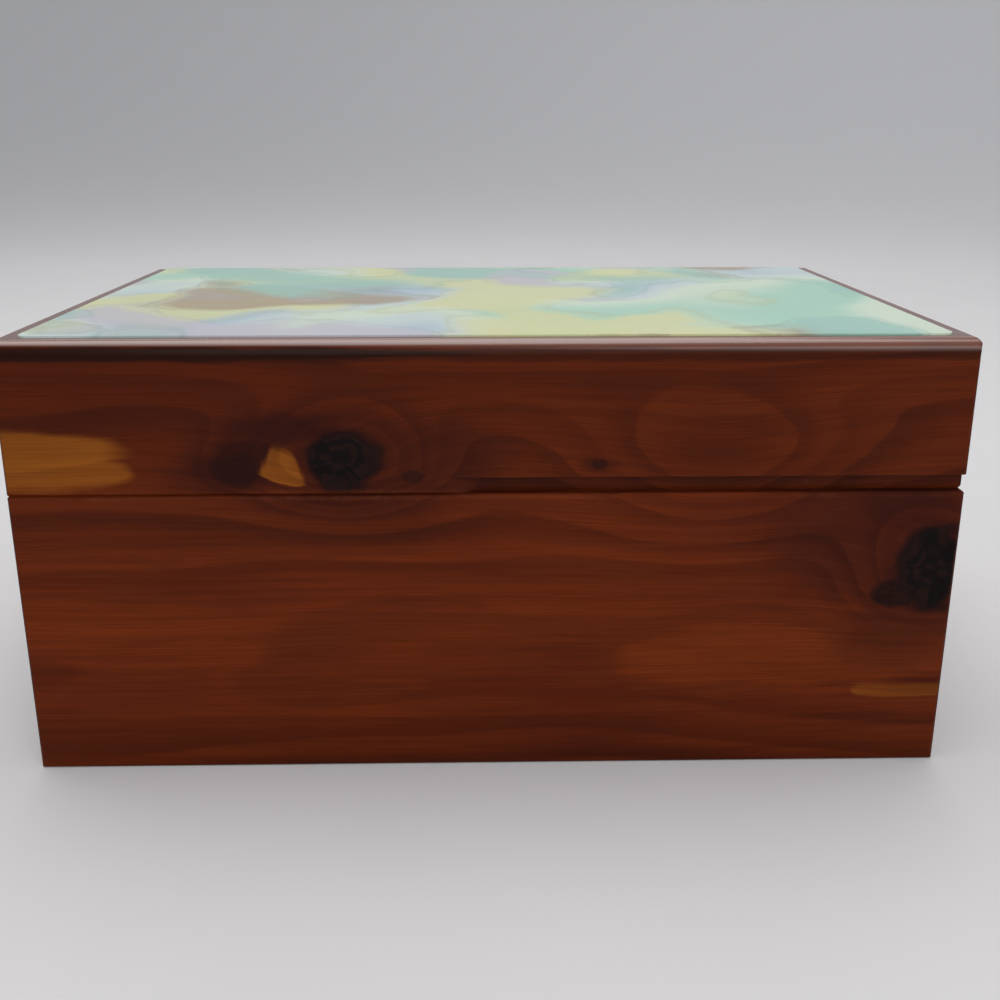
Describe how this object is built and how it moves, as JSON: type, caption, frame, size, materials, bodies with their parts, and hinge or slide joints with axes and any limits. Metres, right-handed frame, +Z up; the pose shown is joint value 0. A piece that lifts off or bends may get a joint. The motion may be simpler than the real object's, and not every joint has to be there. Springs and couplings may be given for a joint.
{
  "type": "trinket box",
  "caption": "Small rectangular cedar keepsake box with a hinged lid, a finger groove in the lid's front edge and a printed picture on top.",
  "frame": {"origin": "on the floor under the middle of the box body, hinges left out", "axes": "+X to the right seen from the front, +Y from the front to the hinged back, +Z up"},
  "size_m": [0.1524, 0.1051, 0.0731],
  "materials": {
    "cedar_boards": "clear gloss lacquer outside, bare inside",
    "cedar_panels": "bare planed cedar",
    "picture_print": "printed sheet under gloss varnish",
    "hinge_brass": "plated, lightly tarnished",
    "brad_steel": "plain wire"
  },
  "bodies": {
    "base": {"base_front": "cedar_boards", "base_back": "cedar_boards", "base_left": "cedar_boards", "base_right": "cedar_boards", "base_bottom_panel": "cedar_panels", "bottom_brads": "brad_steel", "hinge_left_base_leaf": "hinge_brass", "hinge_right_base_leaf": "hinge_brass", "hinge_left_pin": "hinge_brass", "hinge_right_pin": "hinge_brass", "hinge_nails_base": "hinge_brass"},
    "lid": {"lid_front": "cedar_boards", "lid_back": "cedar_boards", "lid_left": "cedar_boards", "lid_right": "cedar_boards", "lid_top_panel": "cedar_panels", "lid_picture": "picture_print", "hinge_left_lid_leaf": "hinge_brass", "hinge_right_lid_leaf": "hinge_brass", "hinge_nails_lid": "hinge_brass"}
  },
  "joints": [
    {"name": "lid_hinge", "type": "hinge", "parent": "base", "child": "lid", "pos_m": [0, 0.0527, 0.0482], "axis": [-1, 0, 0], "range_deg": [0, 180]}
  ]
}
